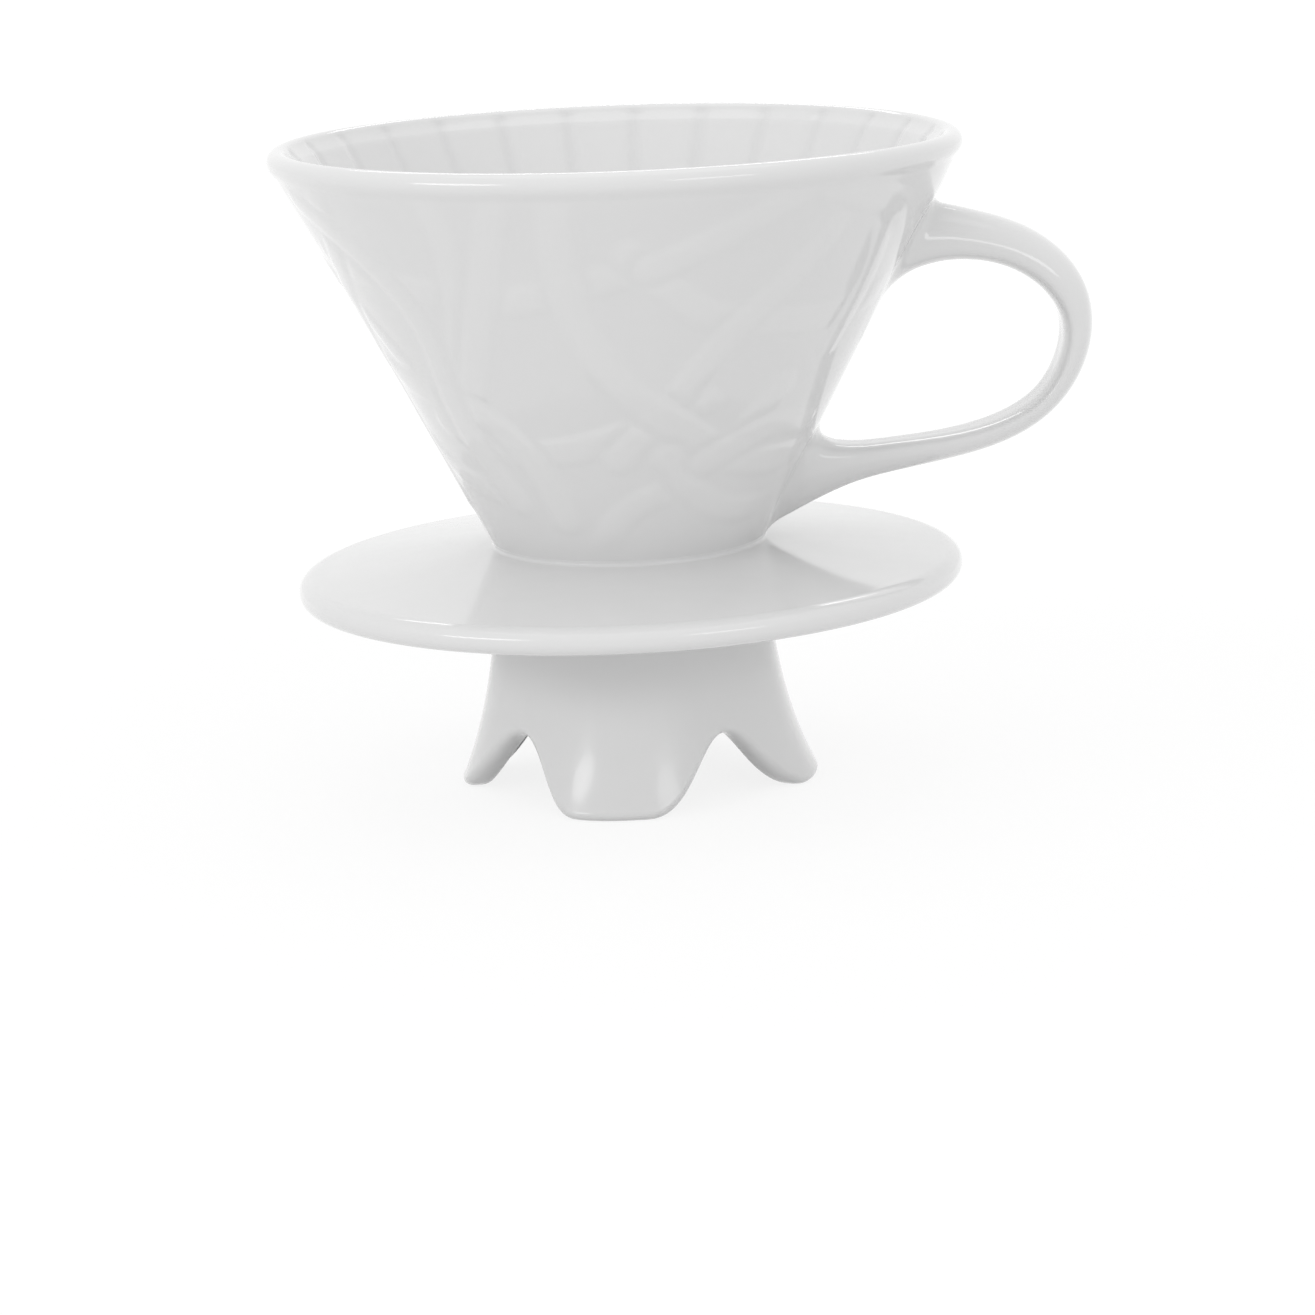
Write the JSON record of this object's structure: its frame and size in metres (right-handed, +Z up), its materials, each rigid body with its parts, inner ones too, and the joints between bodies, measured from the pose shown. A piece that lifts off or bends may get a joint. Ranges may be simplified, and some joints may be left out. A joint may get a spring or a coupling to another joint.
{
  "type": "pour over coffee dripper",
  "caption": "Glazed porcelain pour-over cone with fluted inside, strap handle, drip saucer, short outlet spout and a scalloped skirt of feet that sits inside a mug or server.",
  "frame": {"origin": "middle of the whole object's bounding box in X and Y, on the plane the feet stand on; the cone's own axis is the vertical line x = -0.0108 m, y = 0", "axes": "+Z up along the cone's axis towards the rim, +X from the cone towards the handle, +Y to the left of the handle seen from above with the handle pointing away"},
  "size_m": [0.1375, 0.116, 0.1106],
  "materials": {
    "bowl_glaze": "glazed white porcelain, clear glossy glaze over a white body",
    "spout_glaze": "glazed white porcelain",
    "saucer_glaze": "glazed white porcelain",
    "skirt_glaze": "glazed white porcelain, feet ground flat",
    "handle_glaze": "glazed white porcelain"
  },
  "bodies": {
    "root": {"cone_bowl": "bowl_glaze", "outlet_spout": "spout_glaze", "drip_saucer": "saucer_glaze", "foot_skirt": "skirt_glaze", "handle": "handle_glaze"}
  },
  "joints": []
}
